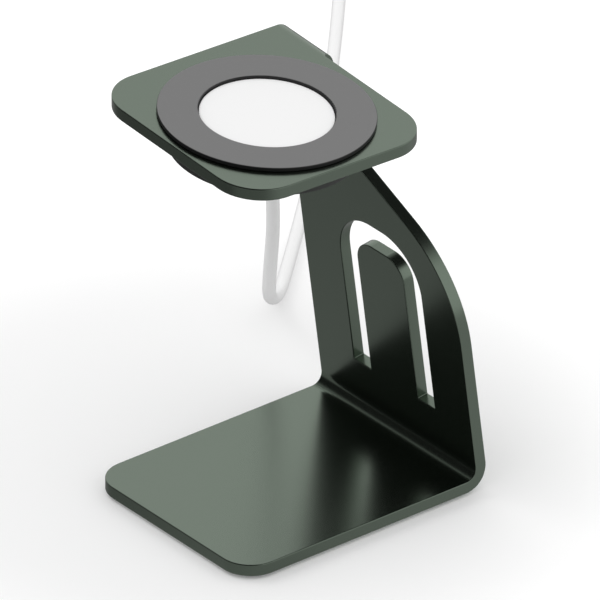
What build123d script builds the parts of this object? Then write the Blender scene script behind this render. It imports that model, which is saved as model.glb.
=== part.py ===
from build123d import *
import os
from math import cos, pi, radians, sin, sqrt, tan

# A desk stand folded from one metal sheet: a base plate, an upright that leans forward, with an arched slot
# round a tongue, and a small top plate that carries a watch-size charging puck in a ring pad.
# Frame: +Z up, the stand's open front faces -Y, and the narrow end of the upright is on the -X side.
# The origin is on the surface that the stand rests on, under the middle of its box. Sizes are in millimetres.

# Folded sheet
sheet = 2.7
base_width = 51.73
base_depth = 61.8  # from the inner corner of the base fold to the front edge
base_corner_radius = 7.2
base_fold_radius = 2.5  # inner radius
top_fold_radius = 1.0  # inner radius
edge_rounding = 0.2
sharp_angle = 30  # degrees between two faces, over which their edge is rounded

# Upright, in its own plane: across from the far side, and up from the inner corner of the base fold
upright_lean = 7.5  # degrees forward from vertical
root_height = 8.0  # of the stretch that is as wide as the base
shoulder_height = 49.4  # where the near side's line meets the sloping shoulder's line
shoulder_radius = 28.3
neck_width = 14.5
neck_height = 69.7  # where the sloping shoulder's line meets the neck's near side
neck_radius = 10.0
slot_offset = 0.12  # of the slot's middle from the base's middle, towards the near side
slot_bottom = 11.8
slot_width = 26.85
slot_rise = 1.74  # of the slot's top over the shoulder's height
slot_corner_radius = 11.35
tongue_width = 15.62
tongue_drop = 5.63  # of the tongue's top below the slot's top
tongue_corner_radius = 5.2

# Top plate
plate_height = 90.23  # of its top face over the base, at the far side, over the upright's front face
plate_front_rise = 2.22  # degrees
plate_side_droop = 3.2  # degrees
plate_width = 52.45
plate_front = 61.27  # of its front edge from the base fold's inner corner
plate_back = 11.61  # of its free back edge
plate_inner_radius = 1.4  # where the free back edge meets the neck
neck_end_length = 9.0  # of the neck's stretch that is made with the top fold
strip_margin = 5.0  # of the folded strip past the top's outline, which it is cut to
plate_front_far_radius = 10.2
plate_front_near_radius = 10.4
plate_back_near_radius = 10.25

# Feet, round the same centres as the base's front corners
foot_height = 0.8
foot_margin = 1.3  # from the foot to the base's edge or fold
foot_rounding = 0.25

# Ring pad, round an axis square to the top plate
pad_radius = 22.9
pad_thickness = 1.0
pad_front_gap = 1.385  # from the plate's front edge
pad_offset = 1.56  # from the plate's middle, towards the near side
pad_rounding = 0.25

# Charging puck
puck_radius = 14.2
puck_stand_out = 0.35  # of its face over the plate's top face
puck_clearance = 0.13  # to the bores of the pad and the cup
puck_wall = 1.2
puck_floor = 1.0
puck_rounding = 0.5
puck_ledge = 0.7  # width of the step that carries the ferrite
puck_face_thickness = 1.4
puck_face_dish = 0.4
puck_face_rim = 0.5  # width of the flat rim round the dish
puck_face_rounding = 0.2
inside_gap = 0.3  # between the pieces inside and what they don't rest on
board_thickness = 0.8
chip_height = 1.0
ferrite_thickness = 0.7
winding_inner_radius = 6.6
winding_thickness = 1.1
winding_rounding = 0.2
magnet_radius = 5.2

# Charger cup
cup_radius = 20.5
cup_depth = 4.55  # below the plate's underside
cup_lip_height = 0.5
cup_lip_width = 1.7
cup_rounding = 0.4
plate_hole_clearance = 0.4  # round the puck

# Cup screws
screw_count = 3
screw_radius = 1.0
screw_clearance = 0.1
screw_head_radius = 1.9
screw_head_height = 1.1
screw_reach = 2.4  # into the cup
screw_sink = 0.1  # of the head below the plate's top face
screw_socket_width = 1.3  # across flats
screw_socket_depth = 0.6

# Cable, where it leaves the puck
cable_diameter = 2.9
cable_heading = 144.5  # degrees from +X, seen from above
cable_lead = 7.5  # straight out of the strain relief
neck_length = 3.2  # of the puck's neck, out of its side
boot_width = 5.0
boot_height = 3.2
boot_length = 11.6
boot_tip_radius = 1.6
boot_rounding = 1.0
boot_clearance = 0.15  # to the plate and to the sides of the cup's notch
shank_radius = 0.6
shank_clearance = 0.04
wire_radius = 0.15
wire_spread = 0.5  # between the two wires
wire_length = 3.4

# Cable, the way that it hangs and lies behind the stand
arc_share = 0.45  # of the shorter run beside an arc
cable_route = [
    (-34.6, 18.15, 85.7),
    (-38.8, 22.15, 78.7),
    (-41.8, 26.75, 62.0),
    (-46.0, 32.75, 35.0),
    (-51.4, 35.45, 14.5),
    (-56.6, 39.65, 6.0),
    (-62.7, 47.05, 1.45),
    (-72.4, 57.45, 1.45),
    (-86.0, 71.75, 1.45),
    (-105.7, 91.85, 1.45),
    (-128.9, 114.15, 1.45),
    (-149.8, 132.85, 1.45),
    (-160.5, 141.95, 1.75),
    (-171.4, 151.05, 1.75),
]

# Put-away coil of two layers, and its tie
coil_turns = 7.25
coil_middle_radius = 15.6
coil_allowance = 0.05  # of the coil's outer shape round its turns
stub_margin = 1.0  # of the coil's straight ends past the coil
tie_thickness = 0.25
tie_width = 6.0
tie_clearance = 0.1
tie_angle = 200.0  # degrees round the coil from where the cable enters it

# Plug
grip_width = 15.6
grip_length = 19.0
grip_rounding = 2.2
plug_boot_length = 7.0
plug_boot_radius = 2.6
shell_width = 12.0
shell_height = 4.5
shell_length = 12.0
shell_wall = 0.3
carrier_thickness = 1.9
carrier_inset = 0.6  # from the shell's mouth
carrier_clearance = 0.1
contact_count = 4
contact_pitch = 2.3
contact_width = 1.2
contact_length = 7.4
contact_thickness = 0.15

# How near a vertex lies to the point that names it
point_tolerance = 0.01

# Places in the frame that follow from these sizes
base_top = foot_height + sheet
fold_centre = base_fold_radius / tan(radians((90 - upright_lean) / 2))
back_reach = base_fold_radius + sheet - fold_centre
far_side = -plate_width / 2
fold_y = (base_depth - back_reach) / 2
front_y = fold_y - base_depth
slot_centre = base_width / 2 + slot_offset
slot_top = shoulder_height + slot_rise
tongue_top = slot_top - tongue_drop
foot_radius = base_corner_radius - foot_margin

upright = Plane(
    origin=(far_side, fold_y, base_top),
    x_dir=(1, 0, 0),
    z_dir=(0, -cos(radians(upright_lean)), -sin(radians(upright_lean))),
)
plate_normal = Vector(tan(radians(plate_side_droop)), tan(radians(plate_front_rise)), 1).normalized()
plate_origin = Vector(far_side, fold_y - plate_height * tan(radians(upright_lean)), base_top + plate_height)


def on_plate(x, y):
    """The point of the plate's top face over x, y."""
    lift = plate_normal.X * (plate_origin.X - x) + plate_normal.Y * (plate_origin.Y - y)
    return Vector(x, y, plate_origin.Z + lift / plate_normal.Z)


# The top fold: its line, and the sheet's directions away from it
fold_line = plate_normal.cross(upright.z_dir).normalized()
plate_forward = fold_line.cross(plate_normal)
neck_down = fold_line.cross(upright.z_dir)
top_corner = plate_origin - neck_down * (sheet / neck_down.dot(plate_normal))
root_joint = Plane(origin=upright.from_local_coords((0, root_height, 0)), z_dir=upright.y_dir)
neck_joint = Plane(origin=top_corner + neck_down * neck_end_length, z_dir=neck_down)

# The seat's plane is the plate's top face, with its middle on the puck's axis and its x towards the cable
pad_centre = on_plate(pad_offset, fold_y - plate_front + pad_front_gap + pad_radius)
heading = Vector(cos(radians(cable_heading)), sin(radians(cable_heading)), 0)
seat = Plane(origin=pad_centre, x_dir=heading, z_dir=plate_normal)

# Heights and radii in the seat's plane
pocket_radius = puck_radius + puck_clearance
screw_circle_radius = (pocket_radius + cup_radius) / 2
puck_bottom = cup_lip_height - sheet - cup_depth
puck_face_bottom = puck_stand_out - puck_face_thickness
puck_inner_radius = puck_radius - puck_wall
cavity_bottom = puck_bottom + puck_floor
board_top = cavity_bottom + board_thickness
board_radius = puck_inner_radius - puck_ledge - inside_gap
ferrite_bottom = board_top + chip_height + inside_gap
ferrite_top = ferrite_bottom + ferrite_thickness
ferrite_radius = puck_inner_radius - inside_gap / 2
winding_outer_radius = ferrite_radius - 2 * inside_gap
magnet_top = puck_face_bottom - inside_gap
cable_drop = sheet + boot_clearance + boot_height / 2
boot_start = puck_radius + neck_length
boot_tip = boot_start + boot_length
shank_end = board_radius + inside_gap / 2

# Chips on the board: middle and size across the seat's plane
chip_places = [
    (-3.5, 2.5, 4.4, 4.4),
    (3.2, 4.6, 3.0, 2.0),
    (4.6, -3.4, 2.4, 3.4),
    (-2.4, -5.2, 3.2, 1.8),
    (-7.6, -2.2, 1.6, 3.2),
    (1.2, -8.2, 2.0, 1.2),
]

# The coil lies to the left of the cable's last run. Its turns run in along the floor and out on top, a diameter
# apart, so that half of each layer's turns are outside the middle radius.
cable_radius = cable_diameter / 2
coil_outer_turn = coil_middle_radius + cable_diameter * coil_turns / 4
coil_inner_turn = coil_middle_radius - cable_diameter * coil_turns / 4
coil_stub = 2 * sqrt(coil_outer_turn * cable_radius) + stub_margin
tail_stub = coil_stub + plug_boot_radius
coil_bottom = tie_thickness + coil_allowance
tail_height = coil_bottom + 1.5 * cable_diameter
coil_rounding = 0.8 * cable_radius

# Plug's places along the cable from the cable's end
shell_start = plug_boot_length + grip_length
shell_mouth = shell_start + shell_length
carrier_bottom = shell_wall - shell_height / 2


def disc(radius, bottom, top):
    """A round disc about the local z axis."""
    return Pos(0, 0, bottom) * Cylinder(radius, top - bottom, align=(Align.CENTER, Align.CENTER, Align.MIN))


def block(low, high):
    """A box between two corners."""
    size = [b - a for a, b in zip(low, high)]
    middle = [(a + b) / 2 for a, b in zip(low, high)]
    return Pos(*middle) * Box(*size)


def round_corner(face, corner, radius):
    """The face with its corner at that point rounded."""
    near = [v for v in face.vertices() if (Vector(v) - Vector(corner)).length < point_tolerance]
    return fillet(near, radius)


def folded_section(first, second, angle, radius):
    """Section of a folded sheet, inner corner at the origin: one leg along x, the other turned by the angle."""
    turn = Vector(cos(radians(angle)), sin(radians(angle)))
    out = Vector(-turn.Y, turn.X) * sheet
    outer_corner = (Vector(1, 0) + turn) * (-sheet / sin(radians(angle)))
    corners = [(first, 0), (0, 0), turn * second, turn * second + out, outer_corner, (first, -sheet)]
    section = make_face(Polyline(*corners, close=True))
    section = round_corner(section, (0, 0), radius)
    return round_corner(section, outer_corner, radius + sheet)


# Frame: three stretches of the sheet, which meet face to face


def sharp_edges(solid):
    """Edges where two faces meet at a clear angle."""
    found = []
    for edge in solid.edges():
        faces = [f for f in solid.faces() if any(e.is_same(edge) for e in f.edges())]
        normals = [f.normal_at(edge @ 0.5) for f in faces]
        if len(faces) == 2 and normals[0].get_angle(normals[1]) > sharp_angle:
            found.append(edge)
    return found


def rounded(solid, *joints):
    """The solid with its sharp edges rounded, but not those in the planes where it joins the next stretch."""
    edges = sharp_edges(solid)
    for joint in joints:
        edges = [e for e in edges if reach_from(joint, e) > edge_rounding]
    return fillet(edges, edge_rounding)


def reach_from(plane, edge):
    """How far the edge gets from the plane."""
    return max(abs(plane.to_local_coords(edge @ t).Z) for t in (0, 0.5, 1))


def base_and_root():
    """The base plate, the base fold and the foot of the upright."""
    near_end = Plane(origin=(far_side + base_width, fold_y, base_top), x_dir=(0, -1, 0), z_dir=(-1, 0, 0))
    section = folded_section(base_depth, root_height, 90 - upright_lean, base_fold_radius)
    solid = extrude(near_end * section, base_width)
    front_edges = solid.edges().filter_by(Axis.Z).group_by(Axis.Y)[0]
    return rounded(fillet(front_edges, base_corner_radius), root_joint)


def upright_outline():
    """Outline of the upright from its root to the top fold, without the slot."""
    neck_ends = [neck_joint_height(x) for x in (neck_width, 0)]
    outline = make_face(
        Polyline(
            (0, root_height),
            (base_width, root_height),
            (base_width, shoulder_height),
            (neck_width, neck_height),
            (neck_width, neck_ends[0]),
            (0, neck_ends[1]),
            close=True,
        )
    )
    outline = round_corner(outline, (base_width, shoulder_height), shoulder_radius)
    return round_corner(outline, (neck_width, neck_height), neck_radius)


def neck_joint_height(across):
    """Height in the upright's plane of the line where the neck meets the top fold's straight leg."""
    start = upright.to_local_coords(neck_joint.origin)
    return start.Y + (across - start.X) * fold_line.dot(upright.y_dir) / fold_line.dot(upright.x_dir)


def arched_face(width, top, corner_radius):
    """A face from the slot's bottom up to a height, with two rounded top corners."""
    height = top - slot_bottom
    face = Pos(slot_centre, slot_bottom + height / 2) * Rectangle(width, height)
    return fillet(face.vertices().group_by(Axis.Y)[-1], corner_radius)


def slotted_upright():
    """The upright between its root and the neck's end, with the arched slot round the tongue."""
    tongue = arched_face(tongue_width, tongue_top, tongue_corner_radius)
    slot = arched_face(slot_width, slot_top, slot_corner_radius) - tongue
    solid = extrude(upright * (upright_outline() - slot), -sheet)
    return rounded(solid, root_joint, neck_joint)


def top_outline():
    """The top seen from above: the plate with its rounded corners, and the fold behind its far end."""
    width, depth = plate_width, plate_front - plate_back
    near_x, front, back = far_side + width, fold_y - plate_front, fold_y - plate_back
    plate = Pos(far_side + width / 2, (front + back) / 2) * Rectangle(width, depth)
    plate = round_corner(plate, (far_side, front), plate_front_far_radius)
    plate = round_corner(plate, (near_x, front), plate_front_near_radius)
    plate = round_corner(plate, (near_x, back), plate_back_near_radius)
    fold_end = far_side + neck_width
    fold = Pos(far_side + neck_width / 2, back) * Rectangle(neck_width, 2 * plate_back)
    return round_corner(plate + fold, (fold_end, back), plate_inner_radius)


def top_and_neck_end():
    """The top plate, the top fold and the end of the neck, as one fold cut to its outline."""
    start = top_corner - fold_line * strip_margin
    section_plane = Plane(origin=start, x_dir=plate_forward, z_dir=fold_line)
    angle = plate_forward.get_angle(neck_down)
    section = folded_section(base_depth, neck_end_length, angle, top_fold_radius)
    solid = extrude(section_plane * section, plate_width + 2 * strip_margin)
    solid &= extrude(Pos(0, 0, base_top) * top_outline(), 2 * plate_height)
    return rounded(solid, neck_joint)


def bent_frame():
    """The folded sheet with the puck's hole and the screw holes."""
    solid = base_and_root() + slotted_upright() + top_and_neck_end()
    hole = disc(puck_radius + plate_hole_clearance, -2 * sheet, sheet)
    solid -= seat * hole
    for place in screw_places():
        solid -= place * plate_screw_hole()
    return solid


# Charger cup and its screws


def screw_places():
    """Where the cup's screws stand, on the plate's top face, with none on the cable's side."""
    step = 360 / screw_count
    return [seat * Rot(0, 0, step * (i + 0.5)) * Pos(screw_circle_radius, 0, 0) for i in range(screw_count)]


def screw_head():
    """Countersunk head, a little under the plate's top face."""
    place = Pos(0, 0, -screw_sink - screw_head_height)
    bottom_up = (Align.CENTER, Align.CENTER, Align.MIN)
    return place * Cone(screw_radius, screw_head_radius, screw_head_height, align=bottom_up)


def plate_screw_hole():
    """Countersunk hole through the plate."""
    hole = disc(screw_radius + screw_clearance, -2 * sheet, 0)
    return screw_head() + hole + disc(screw_head_radius, -screw_sink, sheet)


def charger_cup():
    """Ring under the plate with a lip that carries the puck, and a notch for the cable."""
    bottom = -sheet - cup_depth
    body = disc(cup_radius, bottom, -sheet)
    body = fillet(body.edges().group_by(Axis.Z)[0], cup_rounding)
    body -= disc(pocket_radius, puck_bottom, 0) + disc(puck_radius - cup_lip_width, 2 * bottom, 0)
    half = boot_width / 2 + boot_clearance
    body -= block((0, -half, 2 * bottom), (2 * cup_radius, half, 0))
    body = seat * body
    for place in screw_places():
        body -= place * disc(screw_radius, -sheet - screw_reach - 2 * screw_clearance, 0)
    return body


def cup_screws():
    """The screws that hold the cup to the plate, as one group."""
    socket = extrude(RegularPolygon(screw_socket_width / 2, 6, major_radius=False), -screw_socket_depth)
    screw = screw_head() + disc(screw_radius, -sheet - screw_reach, -screw_sink - screw_head_height)
    screw -= Pos(0, 0, -screw_sink) * socket
    return Compound([place * screw for place in screw_places()])


def pad_ring():
    ring = disc(pad_radius, 0, pad_thickness) - disc(pocket_radius, 0, pad_thickness)
    return seat * fillet(ring.edges().filter_by(GeomType.CIRCLE), pad_rounding)


# Feet


def feet():
    """The four feet by name, under the base's flat part."""
    pad = disc(foot_radius, 0, foot_height)
    pad = fillet(pad.edges().group_by(Axis.Z)[0], foot_rounding)
    inset = base_corner_radius
    sides = {"far": far_side + inset, "near": far_side + base_width - inset}
    ends = {"front": front_y + inset, "back": fold_y - fold_centre - inset}
    return {f"foot_{end}_{side}": Pos(x, y) * pad for side, x in sides.items() for end, y in ends.items()}


# Puck


def cable_bore(radius, start, end):
    """A rod along the cable's axis, from one distance to another from the puck's axis."""
    return Pos(start, 0, -cable_drop) * Rot(0, 90, 0) * disc(radius, 0, end - start)


def puck_case():
    """Shallow cup with a step inside for the ferrite, and a square neck that the cable enters."""
    body = disc(puck_radius, puck_bottom, puck_face_bottom)
    body = fillet(body.edges().group_by(Axis.Z)[0], puck_rounding)
    half, high = boot_width / 2, boot_height / 2
    neck = block((puck_inner_radius, -half, -cable_drop - high), (boot_start, half, -cable_drop + high))
    body += fillet(neck.edges().filter_by(Axis.X), boot_rounding)
    body -= disc(puck_inner_radius, ferrite_bottom, pad_thickness)
    body -= disc(puck_inner_radius - puck_ledge, cavity_bottom, 0)
    body -= cable_bore(shank_radius + shank_clearance, board_radius, 2 * boot_start)
    return seat * body


def puck_face():
    """The puck's white face, dished inside a narrow flat rim."""
    face = disc(puck_radius, puck_face_bottom, puck_stand_out)
    face = fillet(face.edges().group_by(Axis.Z)[-1], puck_face_rounding)
    dish_radius = puck_radius - puck_face_rim
    ball = (dish_radius**2 + puck_face_dish**2) / (2 * puck_face_dish)
    return seat * (face - Pos(0, 0, puck_stand_out - puck_face_dish + ball) * Sphere(ball))


def ferrite_disc():
    return seat * disc(ferrite_radius, ferrite_bottom, ferrite_top)


def charging_coil():
    """The flat winding on the ferrite."""
    ring = disc(winding_outer_radius, ferrite_top, ferrite_top + winding_thickness)
    ring -= disc(winding_inner_radius, ferrite_bottom, 0)
    return seat * fillet(ring.edges().filter_by(GeomType.CIRCLE), winding_rounding)


def centre_magnet():
    magnet = disc(magnet_radius, ferrite_top, magnet_top)
    return seat * fillet(magnet.edges().group_by(Axis.Z)[-1], winding_rounding)


def circuit_board():
    return seat * disc(board_radius, cavity_bottom, board_top)


def board_chips():
    """Chips on the board, each given by its middle and size across the board, as one group."""
    chips = []
    for x, y, length, width in chip_places:
        low = (x - length / 2, y - width / 2, board_top)
        chips.append(seat * block(low, (x + length / 2, y + width / 2, board_top + chip_height)))
    return Compound(chips)


def lead_wires():
    """Two wires from the cable's end along the board, as one group."""
    wires = []
    for side in (-1, 1):
        place = Pos(shank_end - wire_length, side * wire_spread / 2, board_top + wire_radius)
        wires.append(seat * place * Rot(0, 90, 0) * disc(wire_radius, 0, wire_length))
    return Compound(wires)


# Cable


def strain_relief():
    """Tapered boot from the puck's neck to the cable, with a thin shank through the case's wall."""
    root = Plane(origin=(boot_start, 0, -cable_drop), x_dir=(0, 1, 0), z_dir=(1, 0, 0))
    tip = Plane(origin=(boot_tip, 0, -cable_drop), x_dir=(0, 1, 0), z_dir=(1, 0, 0))
    wide_end = root * RectangleRounded(boot_width, boot_height, boot_rounding)
    boot = loft([wide_end, tip * Circle(boot_tip_radius)])
    return seat * (boot + cable_bore(shank_radius, shank_end, boot_start + shank_radius))


def cable_points():
    """The cable's route, straight out of the strain relief first."""
    exit_point = seat.from_local_coords(Vector(boot_tip, 0, -cable_drop))
    return [exit_point, exit_point + seat.x_dir * cable_lead] + [Vector(*p) for p in cable_route]


def arc_radii(points):
    """Radius of the arc at each inner point, whose tangents take a share of the shorter run."""
    radii = []
    for a, b, c in zip(points, points[1:], points[2:]):
        run = min((b - a).length, (c - b).length)
        radii.append(arc_share * run / tan(radians((b - a).get_angle(c - b)) / 2))
    return radii


def cable():
    """The cable from the strain relief to the coil."""
    points = cable_points()
    path = FilletPolyline(*points, radius=arc_radii(points))
    tube = sweep(Plane(origin=path @ 0, z_dir=path % 0) * Circle(cable_diameter / 2), path)
    print("arc radii", [round(r, 1) for r in arc_radii(points)])
    print("tube length", round(path.length, 2), "and its volume over that and its section",
          round(tube.volume / path.length / (pi * cable_radius**2), 5))
    wound = 2 * pi * coil_middle_radius * coil_turns + coil_stub + tail_stub
    print("length of the whole cable", round(path.length + wound, 1))
    return tube


def coil_place():
    """The coil's middle on the floor, with its x towards the point where the cable enters it."""
    before, end = (Vector(*p) for p in cable_route[-2:])
    run = (end - before).normalized()
    left = Vector(-run.Y, run.X, 0)
    middle = end + run * coil_stub + left * coil_outer_turn
    return Plane(origin=(middle.X, middle.Y, 0), x_dir=-left, z_dir=(0, 0, 1))


def tail_place():
    """The end of the cable past the coil, with its x along the cable, towards the plug."""
    leave = coil_place() * Rot(0, 0, 360 * coil_turns)
    return leave * Pos(coil_outer_turn, tail_stub, tail_height) * Rot(0, 0, 90)


def cable_coil():
    """Outer shape of the wound coil in two layers, with the straight ends that lead in and out of it."""
    width = coil_outer_turn - coil_inner_turn + cable_diameter + 2 * coil_allowance
    section = RectangleRounded(width, 2 * (cable_diameter + coil_allowance), coil_rounding)
    ring = revolve(Plane.XZ * Pos(coil_middle_radius, coil_bottom + cable_diameter) * section, Axis.Z)
    lead_in = Pos(coil_outer_turn, -coil_stub, coil_bottom + cable_radius) * Rot(-90, 0, 0)
    lead_out = tail_place() * Rot(0, -90, 0)
    coil = coil_place() * (ring + lead_in * disc(cable_radius, 0, coil_stub))
    return coil + lead_out * disc(cable_radius, 0, tail_stub)


def cable_tie():
    """Thin band round the coil's section."""
    half = tie_width / 2
    inner_wall = coil_inner_turn - cable_radius - coil_allowance
    low = sqrt(inner_wall**2 - half**2) - tie_clearance
    high = coil_outer_turn + cable_radius + coil_allowance + tie_clearance
    top = coil_bottom + 2 * cable_diameter + coil_allowance
    band = block((low - tie_thickness, -half, 0), (high + tie_thickness, half, top + tie_thickness))
    band -= block((low, -tie_width, tie_thickness), (high, tie_width, top))
    return coil_place() * Rot(0, 0, tie_angle) * band


# Plug


def plug_grip():
    """The plug's grip and its tapered boot."""
    bottom_up = (Align.CENTER, Align.CENTER, Align.MIN)
    boot = Rot(0, 90, 0) * Cone(boot_tip_radius, plug_boot_radius, plug_boot_length, align=bottom_up)
    half = grip_width / 2
    grip = block((plug_boot_length, -half, -tail_height), (shell_start, half, tail_height))
    grip = fillet(grip.edges().filter_by(Axis.X), grip_rounding)
    grip = fillet(grip.edges().group_by(Axis.X)[0], grip_rounding / 2)
    return tail_place() * (grip + boot)


def plug_shell():
    """Open rectangular metal tube."""
    half, high = shell_width / 2, shell_height / 2
    tube = block((shell_start, -half, -high), (shell_mouth, half, high))
    tube = fillet(tube.edges().filter_by(Axis.X), shell_wall)
    inner_half, inner_high = half - shell_wall, high - shell_wall
    tube -= block((0, -inner_half, -inner_high), (2 * shell_mouth, inner_half, inner_high))
    return tail_place() * tube


def plug_carrier():
    """The contact carrier that lies in the lower half of the shell."""
    half = shell_width / 2 - shell_wall - carrier_clearance
    low = (shell_start, -half, carrier_bottom)
    return tail_place() * block(low, (shell_mouth - carrier_inset, half, carrier_bottom + carrier_thickness))


def plug_contacts():
    """Flat strips on the carrier, as one group."""
    end = shell_mouth - 2 * carrier_inset
    bottom = carrier_bottom + carrier_thickness
    strips = []
    for i in range(contact_count):
        middle = (i - (contact_count - 1) / 2) * contact_pitch
        low = (end - contact_length, middle - contact_width / 2, bottom)
        high = (end, middle + contact_width / 2, bottom + contact_thickness)
        strips.append(tail_place() * block(low, high))
    return Compound(strips)


def export(shape, node):
    export_step(shape, f"parts/{node}.step")


os.makedirs("parts", exist_ok=True)
export(bent_frame(), "bent_frame")
export(charger_cup(), "charger_cup")
export(cup_screws(), "cup_screws")
export(pad_ring(), "pad_ring")
for name, pad in feet().items():
    export(pad, name)
export(puck_case(), "puck_case")
export(puck_face(), "puck_face")
export(ferrite_disc(), "ferrite_disc")
export(charging_coil(), "charging_coil")
export(centre_magnet(), "centre_magnet")
export(circuit_board(), "circuit_board")
export(board_chips(), "board_chips")
export(lead_wires(), "lead_wires")
export(strain_relief(), "strain_relief")
export(cable(), "cable")
export(cable_coil(), "cable_coil")
export(cable_tie(), "cable_tie")
export(plug_grip(), "plug_grip")
export(plug_shell(), "plug_shell")
export(plug_carrier(), "plug_carrier")
export(plug_contacts(), "plug_contacts")
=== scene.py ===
from math import cos, pi, radians, sin, sqrt

import bpy
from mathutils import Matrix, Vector


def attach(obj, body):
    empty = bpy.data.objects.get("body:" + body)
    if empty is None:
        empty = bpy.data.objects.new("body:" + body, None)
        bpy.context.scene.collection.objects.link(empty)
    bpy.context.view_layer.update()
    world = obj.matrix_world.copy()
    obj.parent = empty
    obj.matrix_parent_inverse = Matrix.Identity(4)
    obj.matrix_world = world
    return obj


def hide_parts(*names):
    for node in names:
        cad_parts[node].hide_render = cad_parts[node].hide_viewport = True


# A folded metal stand with a watch charging puck in a ring pad on its top plate, and the puck's white
# cable, which hangs behind the stand and runs away over the floor. Sizes are in metres, in the frame of
# the CAD parts.

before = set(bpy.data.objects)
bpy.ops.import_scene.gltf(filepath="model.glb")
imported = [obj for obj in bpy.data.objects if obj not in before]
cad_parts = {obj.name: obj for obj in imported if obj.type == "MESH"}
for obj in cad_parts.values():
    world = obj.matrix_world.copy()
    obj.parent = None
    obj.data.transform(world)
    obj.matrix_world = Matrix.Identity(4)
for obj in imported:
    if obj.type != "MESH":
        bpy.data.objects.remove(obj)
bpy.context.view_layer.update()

MM = 0.001

# Camera: a very long lens, because the photograph has no visible perspective
VIEW_TARGET = Vector((-0.525, 3.18, 44.3)) * MM
VIEW_AZIMUTH = radians(51.4)
VIEW_ELEVATION = radians(30)
VIEW_WIDTH = 124.8 * MM  # of the picture, at the target
LENS_MM = 1600
SENSOR_MM = 36
CLIP_RATIO = 10  # between the distance of the target and the nearest or furthest that is drawn

# Cable: the route's control points, first straight out of the strain relief, and last where the coil begins
CABLE_RADIUS = 1.45 * MM
CABLE_ROUTE = [
    (-22.27, 9.44, 89.37),
    (-28.36, 13.8, 89.55),
    (-34.6, 18.15, 85.7),
    (-38.8, 22.15, 78.7),
    (-41.8, 26.75, 62.0),
    (-46.0, 32.75, 35.0),
    (-51.4, 35.45, 14.5),
    (-56.6, 39.65, 6.0),
    (-62.7, 47.05, 1.45),
    (-72.4, 57.45, 1.45),
    (-86.0, 71.75, 1.45),
    (-105.7, 91.85, 1.45),
    (-128.9, 114.15, 1.45),
    (-149.8, 132.85, 1.45),
    (-160.5, 141.95, 1.75),
    (-171.4, 151.05, 1.75),
]
CABLE_ROUNDNESS = 6  # Blender's bevel resolution
CABLE_RUN_STEPS = 8  # from one control point to the next
POINT_WEIGHT = 0.75  # of a control point, where the spline is nearest to it. Its neighbours share the rest.

# Put-away coil, in two layers with half of the turns each
COIL_TURNS = 7.25
COIL_MIDDLE_RADIUS = 15.6 * MM
COIL_STEPS = 16  # control points a turn
COIL_CLIMB = 0.5  # turns on the way from the lower layer to the upper
COIL_STUB_MARGIN = 1.0 * MM
PLUG_BOOT_RADIUS = 2.6 * MM

# Surfaces. A grain is so many cells in a metre, with so many finer levels.
STAND_GREEN = (0.17, 0.21, 0.17)
STAND_ROUGHNESS = (0.19, 0.27)
STAND_GRAIN = (9000, 2)
STAND_GRAIN_STRENGTH = 0.03
STAND_GRAIN_DEPTH = 0.02 * MM
PLASTIC_UNEVENNESS = 0.05  # of its roughness, more and less
PLASTIC_GRAIN = (4000, 3)
PLASTIC_GRAIN_DEPTH = 0.03 * MM
METAL_UNEVENNESS = 0.3  # of its roughness, as a share of it, more and less
METAL_GRAIN = (3000, 4)
# Painted shade on the pad ring: its sideways-facing walls are painted near black instead of its grey.
RING_SIDE_PAINTED_SHADE = (0.008, 0.008, 0.008)
RING_GREY = (0.165, 0.165, 0.165)
RING_EDGE = (0.6, 0.9)  # how far up the surface faces where the painted shade ends and where the grey begins
PUCK_WHITE = (0.87, 0.87, 0.87)
CABLE_WHITE = (0.88, 0.88, 0.88)

# Studio. A fade is given by two places and the brightness at each.
FLOOR_HALF_WIDTH = 3.0
FLOOR_WHITE = 0.8
FLOOR_ROUGHNESS = 0.9
# Middle of the floor's painted shadow, where its own light is lowest
FLOOR_PAINTED_SHADOW_MIDDLE = (-0.025, -0.005, 0)
FLOOR_GLOW = (0.055, 0.13, 0.12, 0.35)  # its own light, along the distance from that place: lower near it, a painted shadow round the stand
FLOOR_BOUNCE = 0.7  # how bright it is for what it lights
FLOOR_SIDE_FADE = (-0.03, 0.05, 0.29, 0.5)  # along X, a painted reflection: how bright the floor shows in the metal, darker towards -X
FLOOR_FRONT_FADE = (-0.12, 0.04, 0.45, 1.0)  # along Y, a painted reflection: how bright the floor shows in the metal, darker in front
SKY_FADE = (-0.4, 0.1, 0.02, 0.94)  # along the Y of the direction, as it shows in the metal
ZENITH_FADE = (0.6, 0.84, 1.0, 0.02)  # along the Z of the direction, as it shows in the metal
AIR_BRIGHTNESS = 1.0  # of the surroundings, in all but reflections
LIGHT_PLACE = (-0.7, -0.3, 0.8)
LIGHT_SIZE = 0.5
LIGHT_POWER = 1.1  # watts


def make_camera():
    """The camera, far along the view's direction, with the width of the picture set by the distance."""
    data = bpy.data.cameras.new("camera")
    data.lens = LENS_MM
    data.sensor_width = SENSOR_MM
    distance = VIEW_WIDTH * LENS_MM / SENSOR_MM
    data.clip_start = distance / CLIP_RATIO
    data.clip_end = distance * CLIP_RATIO
    camera = bpy.data.objects.new("camera", data)
    bpy.context.scene.collection.objects.link(camera)
    level = cos(VIEW_ELEVATION)
    direction = Vector((sin(VIEW_AZIMUTH) * level, -cos(VIEW_AZIMUTH) * level, sin(VIEW_ELEVATION)))
    camera.location = VIEW_TARGET + direction * distance
    camera.rotation_euler = direction.to_track_quat("Z", "Y").to_euler()
    bpy.context.scene.camera = camera


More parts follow.
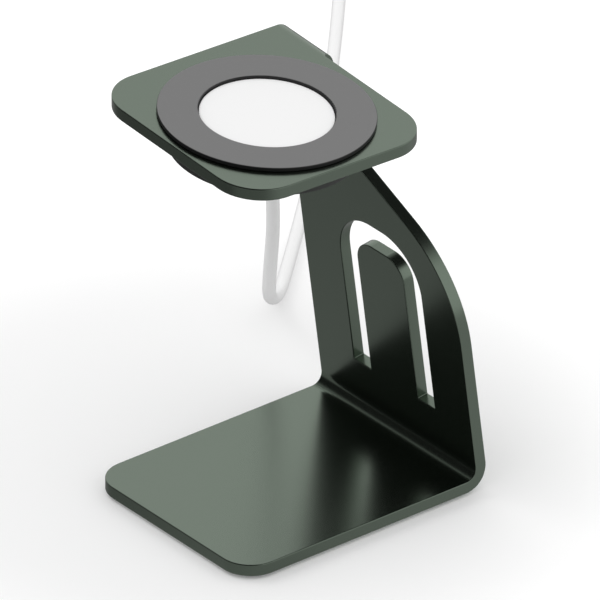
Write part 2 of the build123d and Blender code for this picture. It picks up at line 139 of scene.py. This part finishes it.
def coil_points():
    """The coil's turns, inwards along the floor and outwards on top, and the straight tail to the plug."""
    diameter = 2 * CABLE_RADIUS
    layer_turns = COIL_TURNS / 2
    outer = COIL_MIDDLE_RADIUS + diameter * layer_turns / 2
    before, end = (Vector(p) * MM for p in CABLE_ROUTE[-2:])
    run = (end - before).normalized()
    left = Vector((-run.y, run.x, 0))
    stub = 2 * sqrt(outer * CABLE_RADIUS) + COIL_STUB_MARGIN
    middle = end + run * stub + left * outer
    corner_share = POINT_WEIGHT + (1 - POINT_WEIGHT) * cos(2 * pi / COIL_STEPS)
    points = []
    for i in range(round(COIL_TURNS * COIL_STEPS) + 1):
        turn = i / COIL_STEPS
        fall = min(turn, COIL_TURNS - turn) * diameter
        climbed = (turn - layer_turns + COIL_CLIMB / 2) / COIL_CLIMB
        upper = min(max(climbed, 0), 1)
        radius = (outer - fall) / corner_share
        angle = 2 * pi * turn
        place = middle + (run * sin(angle) - left * cos(angle)) * radius
        place.z = end.z + upper * diameter
        points.append(place)
    angle = 2 * pi * COIL_TURNS
    leave = run * cos(angle) + left * sin(angle)
    start = middle + (run * sin(angle) - left * cos(angle)) * outer
    start.z = end.z + diameter
    points.append(start + leave * (stub + PLUG_BOOT_RADIUS))
    return points


def make_cable(material):
    """One smooth spline from the strain relief to the plug."""
    points = [Vector(p) * MM for p in CABLE_ROUTE] + coil_points()
    data = bpy.data.curves.new("charging_cable", "CURVE")
    data.dimensions = "3D"
    data.bevel_depth = CABLE_RADIUS
    data.bevel_resolution = CABLE_ROUNDNESS
    data.resolution_u = CABLE_RUN_STEPS
    spline = data.splines.new("NURBS")
    spline.points.add(len(points) - 1)
    for point, place in zip(spline.points, points):
        point.co = (*place, 1)
    spline.order_u = 3
    spline.use_endpoint_u = True
    cable = bpy.data.objects.new("charging_cable", data)
    bpy.context.scene.collection.objects.link(cable)
    data.materials.append(material)
    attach(cable, "root")
    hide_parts("cable", "cable_coil")


# Materials


def new_material(name):
    """A node material with its shader and output."""
    material = bpy.data.materials.new(name)
    material.use_nodes = True
    return material, material.node_tree.nodes, material.node_tree.links


def add_grain(nodes, links, grain):
    """Noise over the object's own coordinates."""
    place = nodes.new("ShaderNodeTexCoord")
    noise = nodes.new("ShaderNodeTexNoise")
    noise.inputs["Scale"].default_value, noise.inputs["Detail"].default_value = grain
    links.new(place.outputs["Object"], noise.inputs["Vector"])
    return noise.outputs["Fac"]


def add_range(nodes, links, source, low, high):
    """The source's 0 to 1 stretched to a range."""
    span = nodes.new("ShaderNodeMapRange")
    span.inputs["To Min"].default_value = low
    span.inputs["To Max"].default_value = high
    links.new(source, span.inputs["Value"])
    return span.outputs["Result"]


def add_bump(nodes, links, height, strength, distance, shader):
    """A bump on the shader's normal."""
    bump = nodes.new("ShaderNodeBump")
    bump.inputs["Strength"].default_value = strength
    bump.inputs["Distance"].default_value = distance
    links.new(height, bump.inputs["Height"])
    links.new(bump.outputs["Normal"], shader.inputs["Normal"])


def stand_metal():
    """Satin dark green coat with a very fine blasted grain."""
    material, nodes, links = new_material("stand_metal")
    shader = nodes["Principled BSDF"]
    shader.inputs["Base Color"].default_value = (*STAND_GREEN, 1)
    shader.inputs["Metallic"].default_value = 1
    grain = add_grain(nodes, links, STAND_GRAIN)
    links.new(add_range(nodes, links, grain, *STAND_ROUGHNESS), shader.inputs["Roughness"])
    add_bump(nodes, links, grain, STAND_GRAIN_STRENGTH, STAND_GRAIN_DEPTH, shader)
    return material


def plastic(name, colour, roughness, bump):
    """Moulded plastic or rubber with slightly uneven gloss, and a fine grain whose bump is so strong."""
    material, nodes, links = new_material(name)
    shader = nodes["Principled BSDF"]
    shader.inputs["Base Color"].default_value = (*colour, 1)
    grain = add_grain(nodes, links, PLASTIC_GRAIN)
    low, high = roughness - PLASTIC_UNEVENNESS, roughness + PLASTIC_UNEVENNESS
    links.new(add_range(nodes, links, grain, low, high), shader.inputs["Roughness"])
    add_bump(nodes, links, grain, bump, PLASTIC_GRAIN_DEPTH, shader)
    return material


def ring_material():
    """Grey rubber with painted shade: where its surface faces sideways, it is painted near black."""
    material = plastic("ring_rubber", RING_GREY, roughness=0.55, bump=0.1)
    nodes, links = material.node_tree.nodes, material.node_tree.links
    # painted shade: the colour follows how far up the surface faces, near black on the sides
    surface = nodes.new("ShaderNodeNewGeometry")
    axes = nodes.new("ShaderNodeSeparateXYZ")
    links.new(surface.outputs["Normal"], axes.inputs["Vector"])
    ramp = nodes.new("ShaderNodeValToRGB")
    for element, position, shade in zip(ramp.color_ramp.elements, RING_EDGE, (RING_SIDE_PAINTED_SHADE, RING_GREY)):
        element.position = position
        element.color = (*shade, 1)
    links.new(axes.outputs["Z"], ramp.inputs["Fac"])
    links.new(ramp.outputs["Color"], nodes["Principled BSDF"].inputs["Base Color"])
    return material


def metal(name, colour, roughness):
    """Plain bright metal with an uneven gloss."""
    material, nodes, links = new_material(name)
    shader = nodes["Principled BSDF"]
    shader.inputs["Base Color"].default_value = (*colour, 1)
    shader.inputs["Metallic"].default_value = 1
    grain = add_grain(nodes, links, METAL_GRAIN)
    low, high = roughness * (1 - METAL_UNEVENNESS), roughness * (1 + METAL_UNEVENNESS)
    links.new(add_range(nodes, links, grain, low, high), shader.inputs["Roughness"])
    return material


def dress(node, material):
    """Gives a CAD node its material."""
    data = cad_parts[node].data
    data.materials.clear()
    data.materials.append(material)


def dress_nodes(cable_material):
    """Materials of the CAD nodes that nothing replaces."""
    dark_rubber = plastic("dark_rubber", (0.02, 0.02, 0.02), roughness=0.6, bump=0.2)
    ring_rubber = ring_material()
    white_plastic = plastic("white_plastic", PUCK_WHITE, roughness=0.3, bump=0.02)
    steel = metal("steel", (0.6, 0.6, 0.6), roughness=0.25)
    looks = {
        "bent_frame": stand_metal(),
        "charger_cup": plastic("cup_plastic", (0.02, 0.022, 0.02), roughness=0.45, bump=0.1),
        "cup_screws": metal("screw_steel", (0.2, 0.2, 0.2), roughness=0.3),
        "pad_ring": ring_rubber,
        "puck_case": white_plastic,
        "puck_face": white_plastic,
        "ferrite_disc": plastic("ferrite", (0.05, 0.05, 0.055), roughness=0.5, bump=0.1),
        "charging_coil": metal("copper", (0.8, 0.4, 0.2), roughness=0.3),
        "centre_magnet": metal("magnet", (0.6, 0.6, 0.6), roughness=0.2),
        "circuit_board": plastic("board", (0.02, 0.15, 0.05), roughness=0.4, bump=0.05),
        "board_chips": plastic("chips", (0.02, 0.02, 0.02), roughness=0.5, bump=0.1),
        "lead_wires": plastic("wire_jacket", (0.5, 0.03, 0.03), roughness=0.5, bump=0.05),
        "strain_relief": cable_material,
        "cable_tie": plastic("tie_plastic", (0.75, 0.75, 0.75), roughness=0.4, bump=0.05),
        "plug_grip": white_plastic,
        "plug_shell": steel,
        "plug_carrier": plastic("carrier_plastic", (0.8, 0.8, 0.8), roughness=0.45, bump=0.05),
        "plug_contacts": metal("contact_gold", (0.9, 0.65, 0.3), roughness=0.2),
    }
    for side in ("near", "far"):
        for end in ("front", "back"):
            looks[f"foot_{end}_{side}"] = dark_rubber
    for node, material in looks.items():
        dress(node, material)


# Floor, world and light


def add_light_path_mix(nodes, links, ray, shader, other):
    """One shader for a kind of ray, and the other for all the rest."""
    path = nodes.new("ShaderNodeLightPath")
    mix = nodes.new("ShaderNodeMixShader")
    links.new(path.outputs[ray], mix.inputs["Fac"])
    links.new(other, mix.inputs[1])
    links.new(shader, mix.inputs[2])
    return mix.outputs["Shader"]


def add_fade(nodes, links, source, fade):
    """A smooth change of brightness between two places of the source."""
    span = nodes.new("ShaderNodeMapRange")
    span.interpolation_type = "SMOOTHSTEP"
    for name, value in zip(("From Min", "From Max", "To Min", "To Max"), fade):
        span.inputs[name].default_value = value
    links.new(source, span.inputs["Value"])
    return span.outputs["Result"]


def add_product(nodes, links, axes, *fades):
    """The product of two fades, each along an axis."""
    product = nodes.new("ShaderNodeMath")
    product.operation = "MULTIPLY"
    for socket, (axis, fade) in zip(product.inputs, fades):
        links.new(add_fade(nodes, links, axes.outputs[axis], fade), socket)
    return product.outputs["Value"]


def floor_material():
    """Pale floor with a light of its own, lower near the stand as a painted shadow. In the metal it shows
    as a painted reflection, and it is evenly bright for what it lights.
    """
    material, nodes, links = new_material("floor")
    shader = nodes["Principled BSDF"]
    shader.inputs["Base Color"].default_value = (FLOOR_WHITE, FLOOR_WHITE, FLOOR_WHITE, 1)
    shader.inputs["Roughness"].default_value = FLOOR_ROUGHNESS
    shader.inputs["Specular IOR Level"].default_value = 0
    shader.inputs["Emission Color"].default_value = (1, 1, 1, 1)
    place = nodes.new("ShaderNodeNewGeometry")
    reach = nodes.new("ShaderNodeVectorMath")
    reach.operation = "DISTANCE"
    links.new(place.outputs["Position"], reach.inputs[0])
    reach.inputs[1].default_value = FLOOR_PAINTED_SHADOW_MIDDLE
    # painted shadow: the floor's own light is lower near the stand
    glow = add_fade(nodes, links, reach.outputs["Value"], FLOOR_GLOW)
    links.new(glow, shader.inputs["Emission Strength"])
    axes = nodes.new("ShaderNodeSeparateXYZ")
    links.new(place.outputs["Position"], axes.inputs["Vector"])
    # painted reflection: in the metal the floor shows as a glow whose brightness is set by place, not as
    # the lit floor
    reflected = nodes.new("ShaderNodeEmission")
    brightness = add_product(nodes, links, axes, ("X", FLOOR_SIDE_FADE), ("Y", FLOOR_FRONT_FADE))
    links.new(brightness, reflected.inputs["Strength"])
    bounce = nodes.new("ShaderNodeEmission")
    bounce.inputs["Strength"].default_value = FLOOR_BOUNCE
    out_of_view = add_light_path_mix(
        nodes, links, "Is Glossy Ray", reflected.outputs["Emission"], bounce.outputs["Emission"]
    )
    surface = add_light_path_mix(nodes, links, "Is Camera Ray", shader.outputs["BSDF"], out_of_view)
    links.new(surface, nodes["Material Output"].inputs["Surface"])
    return material


def make_floor():
    """The studio floor, which isn't part of the object."""
    half = FLOOR_HALF_WIDTH
    corners = [(-half, -half, 0), (half, -half, 0), (half, half, 0), (-half, half, 0)]
    mesh = bpy.data.meshes.new("floor")
    mesh.from_pydata(corners, [], [(0, 1, 2, 3)])
    floor = bpy.data.objects.new("floor", mesh)
    bpy.context.scene.collection.objects.link(floor)
    mesh.materials.append(floor_material())


def make_world():
    """White surroundings, which the metal shows as bright behind the stand and dark before and over it."""
    world = bpy.data.worlds.new("studio")
    world.use_nodes = True
    nodes, links = world.node_tree.nodes, world.node_tree.links
    direction = nodes.new("ShaderNodeTexCoord")
    axes = nodes.new("ShaderNodeSeparateXYZ")
    links.new(direction.outputs["Generated"], axes.inputs["Vector"])
    reflected = nodes.new("ShaderNodeBackground")
    air = nodes["Background"]
    for background in (reflected, air):
        background.inputs["Color"].default_value = (1, 1, 1, 1)
    brightness = add_product(nodes, links, axes, ("Y", SKY_FADE), ("Z", ZENITH_FADE))
    links.new(brightness, reflected.inputs["Strength"])
    air.inputs["Strength"].default_value = AIR_BRIGHTNESS
    surface = add_light_path_mix(
        nodes, links, "Is Glossy Ray", reflected.outputs["Background"], air.outputs["Background"]
    )
    links.new(surface, nodes["World Output"].inputs["Surface"])
    bpy.context.scene.world = world


def make_light():
    """A square soft light that shines towards the stand's foot and doesn't show in the metal."""
    data = bpy.data.lights.new("top_light", "AREA")
    data.size = LIGHT_SIZE
    data.energy = LIGHT_POWER
    light = bpy.data.objects.new("top_light", data)
    light.location = LIGHT_PLACE
    light.rotation_euler = Vector(LIGHT_PLACE).to_track_quat("Z", "Y").to_euler()
    light.visible_glossy = False
    bpy.context.scene.collection.objects.link(light)


make_camera()
cable_jacket = plastic("cable_jacket", CABLE_WHITE, roughness=0.35, bump=0.02)
make_cable(cable_jacket)
make_floor()
make_world()
make_light()
dress_nodes(cable_jacket)

bpy.context.scene.view_settings.view_transform = "Standard"
